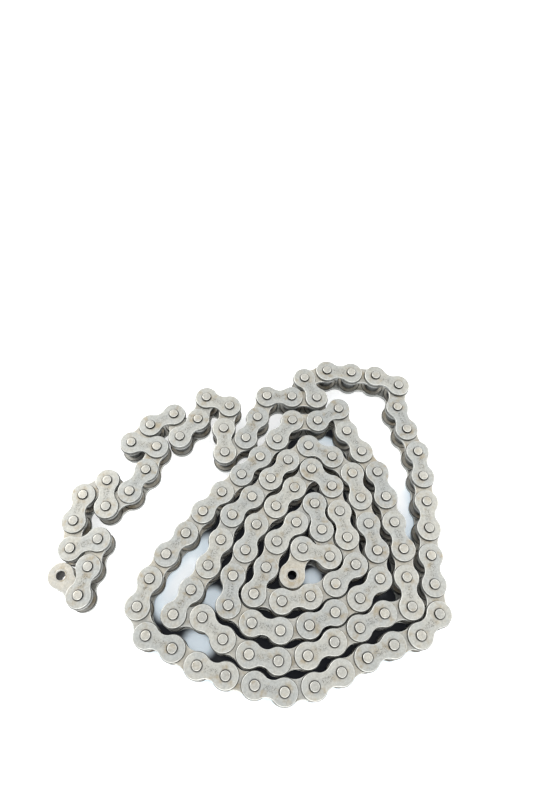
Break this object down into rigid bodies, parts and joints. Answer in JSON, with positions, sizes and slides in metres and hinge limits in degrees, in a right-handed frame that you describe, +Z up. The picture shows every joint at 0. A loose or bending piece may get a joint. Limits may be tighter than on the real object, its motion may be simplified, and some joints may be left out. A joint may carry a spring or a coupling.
{
  "type": "roller chain",
  "caption": "Length of single-strand steel roller chain lying on its side in a loose coil, with a turning tail, open bushes at both ends and riveted pins.",
  "frame": {"origin": "under the middle of the bounding box, on the surface that the lower pin ends lie on", "axes": "+Z up along the pins, +X along the longest side of the coil, +Y away from the tail across the coil"},
  "size_m": [0.2244, 0.2038, 0.0203],
  "materials": {
    "plate_steel": "satin rolled steel plate, lightly oiled, with faint tan stains",
    "pin_steel": "flat riveted end with a bright rim",
    "bush_steel": "turned steel, matt inside",
    "roller_steel": "smooth dark steel"
  },
  "bodies": {
    "coil": {"coil_run_01": "plate_steel", "coil_run_02": "plate_steel", "coil_run_03": "plate_steel", "coil_run_04": "plate_steel", "coil_run_05": "plate_steel", "coil_run_06": "plate_steel", "coil_run_07": "plate_steel", "coil_run_08": "plate_steel", "coil_run_09": "plate_steel", "coil_run_10": "plate_steel", "coil_run_11": "plate_steel", "coil_run_12": "plate_steel", "coil_run_13": "plate_steel", "coil_run_14": "plate_steel", "coil_run_15": "plate_steel", "coil_run_16": "plate_steel", "coil_run_17": "plate_steel", "coil_run_18": "plate_steel"},
    "link_34": {"outer_link_34": "plate_steel"},
    "link_33": {"inner_link_33": "plate_steel"},
    "link_32": {"outer_link_32": "plate_steel"},
    "link_31": {"inner_link_31": "plate_steel"},
    "link_30": {"outer_link_30": "plate_steel"},
    "link_29": {"inner_link_29": "plate_steel"},
    "link_28": {"outer_link_28": "plate_steel"},
    "link_27": {"inner_link_27": "plate_steel"},
    "link_26": {"outer_link_26": "plate_steel"},
    "link_25": {"inner_link_25": "plate_steel"},
    "link_24": {"outer_link_24": "plate_steel"},
    "link_23": {"inner_link_23": "plate_steel"},
    "link_22": {"outer_link_22": "plate_steel"},
    "link_21": {"inner_link_21": "plate_steel"},
    "link_20": {"outer_link_20": "plate_steel"},
    "link_19": {"inner_link_19": "plate_steel"},
    "link_18": {"outer_link_18": "plate_steel"},
    "link_17": {"inner_link_17": "plate_steel"},
    "link_16": {"outer_link_16": "plate_steel"},
    "link_15": {"inner_link_15": "plate_steel"},
    "link_14": {"outer_link_14": "plate_steel"},
    "link_13": {"inner_link_13": "plate_steel"},
    "link_12": {"outer_link_12": "plate_steel"},
    "link_11": {"inner_link_11": "plate_steel"},
    "link_10": {"outer_link_10": "plate_steel"},
    "link_09": {"inner_link_09": "plate_steel"},
    "link_08": {"outer_link_08": "plate_steel"},
    "link_07": {"inner_link_07": "plate_steel"},
    "link_06": {"outer_link_06": "plate_steel"},
    "link_05": {"inner_link_05": "plate_steel"},
    "link_04": {"outer_link_04": "plate_steel"},
    "link_03": {"inner_link_03": "plate_steel"},
    "link_02": {"outer_plate_low_02": "plate_steel", "outer_plate_high_02": "plate_steel", "pin_02a": "pin_steel", "pin_02b": "pin_steel"},
    "link_01": {"inner_plate_low_01": "plate_steel", "inner_plate_high_01": "plate_steel", "bush_01a": "bush_steel", "bush_01b": "bush_steel"},
    "roller_01a": {"roller_01a": "roller_steel"},
    "roller_01b": {"roller_01b": "roller_steel"}
  },
  "joints": [
    {"name": "pivot_34", "type": "hinge", "parent": "coil", "child": "link_34", "pos_m": [0.1009, 0.02633, 0.01013], "axis": [0, 0, -1], "range_deg": [0, 40]},
    {"name": "pivot_33", "type": "hinge", "parent": "link_34", "child": "link_33", "pos_m": [0.09854, 0.04202, 0.01013], "axis": [0, 0, 1], "range_deg": [-105, 0]},
    {"name": "pivot_32", "type": "hinge", "parent": "link_33", "child": "link_32", "pos_m": [0.09244, 0.05668, 0.01013], "axis": [0, 0, -1], "range_deg": [0, 44]},
    {"name": "pivot_31", "type": "hinge", "parent": "link_32", "child": "link_31", "pos_m": [0.08711, 0.07164, 0.01013], "axis": [0, 0, -1], "range_deg": [0, 40]},
    {"name": "pivot_30", "type": "hinge", "parent": "link_31", "child": "link_30", "pos_m": [0.08847, 0.08745, 0.01013], "axis": [0, 0, 1], "range_deg": [-104, 0]},
    {"name": "pivot_29", "type": "hinge", "parent": "link_30", "child": "link_29", "pos_m": [0.07381, 0.09353, 0.01013], "axis": [0, 0, -1], "range_deg": [0, 44]},
    {"name": "pivot_28", "type": "hinge", "parent": "link_29", "child": "link_28", "pos_m": [0.05797, 0.09467, 0.01013], "axis": [0, 0, -1], "range_deg": [0, 48]},
    {"name": "pivot_27", "type": "hinge", "parent": "link_28", "child": "link_27", "pos_m": [0.04211, 0.09522, 0.01013], "axis": [0, 0, -1], "range_deg": [0, 32]},
    {"name": "pivot_26", "type": "hinge", "parent": "link_27", "child": "link_26", "pos_m": [0.02762, 0.08874, 0.01013], "axis": [0, 0, -1], "range_deg": [0, 40]},
    {"name": "pivot_25", "type": "hinge", "parent": "link_26", "child": "link_25", "pos_m": [0.03569, 0.07508, 0.01013], "axis": [0, 0, 1], "range_deg": [-3, 0]},
    {"name": "pivot_24", "type": "hinge", "parent": "link_25", "child": "link_24", "pos_m": [0.01982, 0.07478, 0.01013], "axis": [0, 0, 1], "range_deg": [-50, 0]},
    {"name": "pivot_23", "type": "hinge", "parent": "link_24", "child": "link_23", "pos_m": [0.00396, 0.07415, 0.01013], "axis": [0, 0, -1], "range_deg": [0, 32]},
    {"name": "pivot_22", "type": "hinge", "parent": "link_23", "child": "link_22", "pos_m": [-0.00114, 0.05912, 0.01013], "axis": [0, 0, 1], "range_deg": [-34, 0]},
    {"name": "pivot_21", "type": "hinge", "parent": "link_22", "child": "link_21", "pos_m": [-0.00749, 0.04457, 0.01013], "axis": [0, 0, 1], "range_deg": [-13, 9]},
    {"name": "pivot_20", "type": "hinge", "parent": "link_21", "child": "link_20", "pos_m": [-0.01963, 0.03434, 0.01013], "axis": [0, 0, -1], "range_deg": [-12, 0]},
    {"name": "pivot_19", "type": "hinge", "parent": "link_20", "child": "link_19", "pos_m": [-0.02166, 0.05009, 0.01013], "axis": [0, 0, -1], "range_deg": [-10, 15]},
    {"name": "pivot_18", "type": "hinge", "parent": "link_19", "child": "link_18", "pos_m": [-0.01924, 0.06578, 0.01013], "axis": [0, 0, 1], "range_deg": [-41, 0]},
    {"name": "pivot_17", "type": "hinge", "parent": "link_18", "child": "link_17", "pos_m": [-0.03432, 0.07075, 0.01013], "axis": [0, 0, 1], "range_deg": [-34, 8]},
    {"name": "pivot_16", "type": "hinge", "parent": "link_17", "child": "link_16", "pos_m": [-0.03826, 0.05537, 0.01013], "axis": [0, 0, 1], "range_deg": [-36, 9]},
    {"name": "pivot_15", "type": "hinge", "parent": "link_16", "child": "link_15", "pos_m": [-0.04815, 0.04296, 0.01013], "axis": [0, 0, 1], "range_deg": [-1, 10]},
    {"name": "pivot_14", "type": "hinge", "parent": "link_15", "child": "link_14", "pos_m": [-0.05363, 0.05785, 0.01013], "axis": [0, 0, -1], "range_deg": [0, 60]},
    {"name": "pivot_13", "type": "hinge", "parent": "link_14", "child": "link_13", "pos_m": [-0.06718, 0.04958, 0.01013], "axis": [0, 0, -1], "range_deg": [0, 64]},
    {"name": "pivot_12", "type": "hinge", "parent": "link_13", "child": "link_12", "pos_m": [-0.07718, 0.03725, 0.01013], "axis": [0, 0, -1], "range_deg": [0, 80]},
    {"name": "pivot_11", "type": "hinge", "parent": "link_12", "child": "link_11", "pos_m": [-0.0614, 0.03552, 0.01013], "axis": [0, 0, 1], "range_deg": [-22, 11]},
    {"name": "pivot_10", "type": "hinge", "parent": "link_11", "child": "link_10", "pos_m": [-0.06595, 0.02031, 0.01013], "axis": [0, 0, -1], "range_deg": [-12, 37]},
    {"name": "pivot_09", "type": "hinge", "parent": "link_10", "child": "link_09", "pos_m": [-0.07375, 0.00649, 0.01013], "axis": [0, 0, 1], "range_deg": [-36, 16]},
    {"name": "pivot_08", "type": "hinge", "parent": "link_09", "child": "link_08", "pos_m": [-0.08603, -0.00358, 0.01013], "axis": [0, 0, 1], "range_deg": [0, 21]},
    {"name": "pivot_07", "type": "hinge", "parent": "link_08", "child": "link_07", "pos_m": [-0.08784, 0.01219, 0.01013], "axis": [0, 0, -1], "range_deg": [-2, 76]},
    {"name": "pivot_06", "type": "hinge", "parent": "link_07", "child": "link_06", "pos_m": [-0.10044, 0.00253, 0.01013], "axis": [0, 0, 1], "range_deg": [-88, 18]},
    {"name": "pivot_05", "type": "hinge", "parent": "link_06", "child": "link_05", "pos_m": [-0.10317, -0.01311, 0.01013], "axis": [0, 0, 1], "range_deg": [-92, 14]},
    {"name": "pivot_04", "type": "hinge", "parent": "link_05", "child": "link_04", "pos_m": [-0.10204, -0.02894, 0.01013], "axis": [0, 0, 1], "range_deg": [-106, 14]},
    {"name": "pivot_03", "type": "hinge", "parent": "link_04", "child": "link_03", "pos_m": [-0.08736, -0.02291, 0.01013], "axis": [0, 0, 1], "range_deg": [0, 36]},
    {"name": "pivot_02", "type": "hinge", "parent": "link_03", "child": "link_02", "pos_m": [-0.09023, -0.03852, 0.01013], "axis": [0, 0, -1], "range_deg": [-120, 0]},
    {"name": "pivot_01", "type": "hinge", "parent": "link_02", "child": "link_01", "pos_m": [-0.09282, -0.05418, 0.01013], "axis": [0, 0, -1], "range_deg": [-120, 0]},
    {"name": "roller_01a_spin", "type": "hinge", "parent": "link_01", "child": "roller_01a", "pos_m": [-0.10489, -0.04387, 0.01013], "axis": [0, 0, 1], "continuous": true},
    {"name": "roller_01b_spin", "type": "hinge", "parent": "link_01", "child": "roller_01b", "pos_m": [-0.09282, -0.05418, 0.01013], "axis": [0, 0, 1], "continuous": true}
  ]
}
